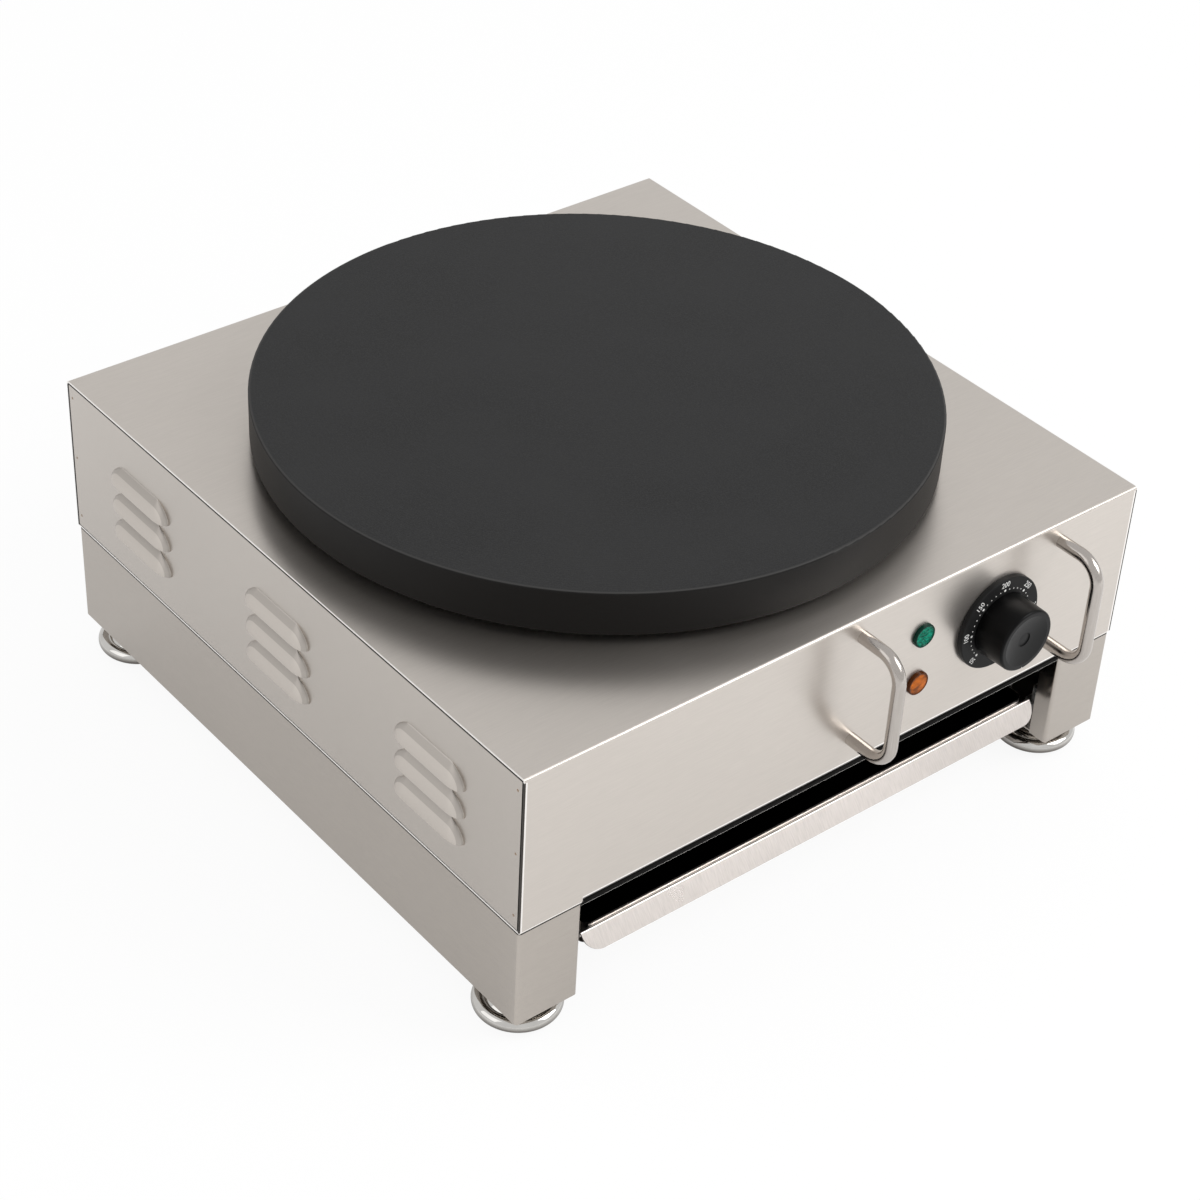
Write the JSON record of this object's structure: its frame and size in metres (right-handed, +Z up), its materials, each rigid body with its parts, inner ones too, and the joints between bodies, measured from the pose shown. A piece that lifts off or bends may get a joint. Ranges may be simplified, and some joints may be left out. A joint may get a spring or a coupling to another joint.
{
  "type": "electric crepe maker",
  "caption": "Square stainless countertop crepe maker: round black griddle plate, thermostat knob, indicator lamps, bow handles, pull-out drip tray and levelling feet.",
  "frame": {"origin": "on the standing surface, under the centre of the whole machine's bounding box, handles and cable gland included; the griddle's axis stands 10.5 mm behind it", "axes": "+Z up, +Y from the front with the controls to the back, +X to the right seen from the front"},
  "size_m": [0.46, 0.499, 0.2283],
  "materials": {
    "casing_steel": "brushed, grain along the width",
    "side_steel": "brushed, grain along the depth",
    "base_steel": "brushed",
    "tray_steel": "brushed, fine grain",
    "inner_steel": "plain mill finish",
    "plate_black": "matt black, fine grained",
    "heater_sheath": "dull grey green",
    "mineral_wool": "fibrous",
    "zinc_fastener": "zinc plated",
    "copper_bulb": "copper",
    "ceramic": "unglazed ceramic",
    "dial_black": "satin moulded",
    "knob_black": "satin moulded",
    "green_lens": "clear green, ribbed inside",
    "amber_lens": "clear amber",
    "moulded_black": "moulded nylon",
    "handle_steel": "satin",
    "brass": "plain",
    "wire_insulation": "glass braid sleeve",
    "foot_chrome": "bright",
    "foot_pad": "plain"
  },
  "bodies": {
    "cabinet": {"cover_wrap": "casing_steel", "cover_side_right": "side_steel", "cover_side_left": "side_steel", "base_side_right": "base_steel", "base_side_left": "base_steel", "base_back": "base_steel", "deck_plate": "inner_steel", "tray_guide_right": "inner_steel", "tray_guide_left": "inner_steel", "corner_angles": "inner_steel", "closing_pan": "inner_steel", "element_clamp": "inner_steel", "griddle_plate": "plate_black", "outer_element": "heater_sheath", "inner_element": "heater_sheath", "insulation_mat": "mineral_wool", "plate_spacers": "zinc_fastener", "plate_studs": "zinc_fastener", "plate_nuts": "zinc_fastener", "clamp_screw": "zinc_fastener", "thermostat_screws": "zinc_fastener", "handle_screws": "zinc_fastener", "rear_screws": "zinc_fastener", "deck_screws": "zinc_fastener", "foot_nuts": "zinc_fastener", "lamp_clips": "zinc_fastener", "sensor_bulb": "copper_bulb", "thermal_cutout": "ceramic", "terminal_block": "ceramic", "thermostat_body": "ceramic", "dial_bezel": "dial_black", "green_lens": "green_lens", "amber_lens": "amber_lens", "green_lamp_body": "moulded_black", "amber_lamp_body": "moulded_black", "cable_gland": "moulded_black", "gland_nut": "moulded_black", "handle_left": "handle_steel", "handle_right": "handle_steel", "earth_terminal": "brass", "terminal_screws": "brass", "wiring": "wire_insulation"},
    "knob": {"knob": "knob_black", "thermostat_spindle": "zinc_fastener"},
    "tray": {"drip_tray": "tray_steel"},
    "front_left_foot": {"foot_cup_front_left": "foot_chrome", "foot_pad_front_left": "foot_pad", "foot_stud_front_left": "zinc_fastener"},
    "front_right_foot": {"foot_cup_front_right": "foot_chrome", "foot_pad_front_right": "foot_pad", "foot_stud_front_right": "zinc_fastener"},
    "rear_left_foot": {"foot_cup_rear_left": "foot_chrome", "foot_pad_rear_left": "foot_pad", "foot_stud_rear_left": "zinc_fastener"},
    "rear_right_foot": {"foot_cup_rear_right": "foot_chrome", "foot_pad_rear_right": "foot_pad", "foot_stud_rear_right": "zinc_fastener"}
  },
  "joints": [
    {"name": "knob_turn", "type": "hinge", "parent": "cabinet", "child": "knob", "pos_m": [0.117, -0.2145, 0.1447], "axis": [0, 1, 0], "range_deg": [0, 270]},
    {"name": "tray_slide", "type": "slide", "parent": "cabinet", "child": "tray", "axis": [0, -1, 0], "range_m": [0, 0.3]},
    {"name": "front_left_foot_screw", "type": "slide", "parent": "cabinet", "child": "front_left_foot", "axis": [0, 0, -1], "range_m": [0, 0.008]},
    {"name": "front_right_foot_screw", "type": "slide", "parent": "cabinet", "child": "front_right_foot", "axis": [0, 0, -1], "range_m": [0, 0.008]},
    {"name": "rear_left_foot_screw", "type": "slide", "parent": "cabinet", "child": "rear_left_foot", "axis": [0, 0, -1], "range_m": [0, 0.008]},
    {"name": "rear_right_foot_screw", "type": "slide", "parent": "cabinet", "child": "rear_right_foot", "axis": [0, 0, -1], "range_m": [0, 0.008]}
  ]
}
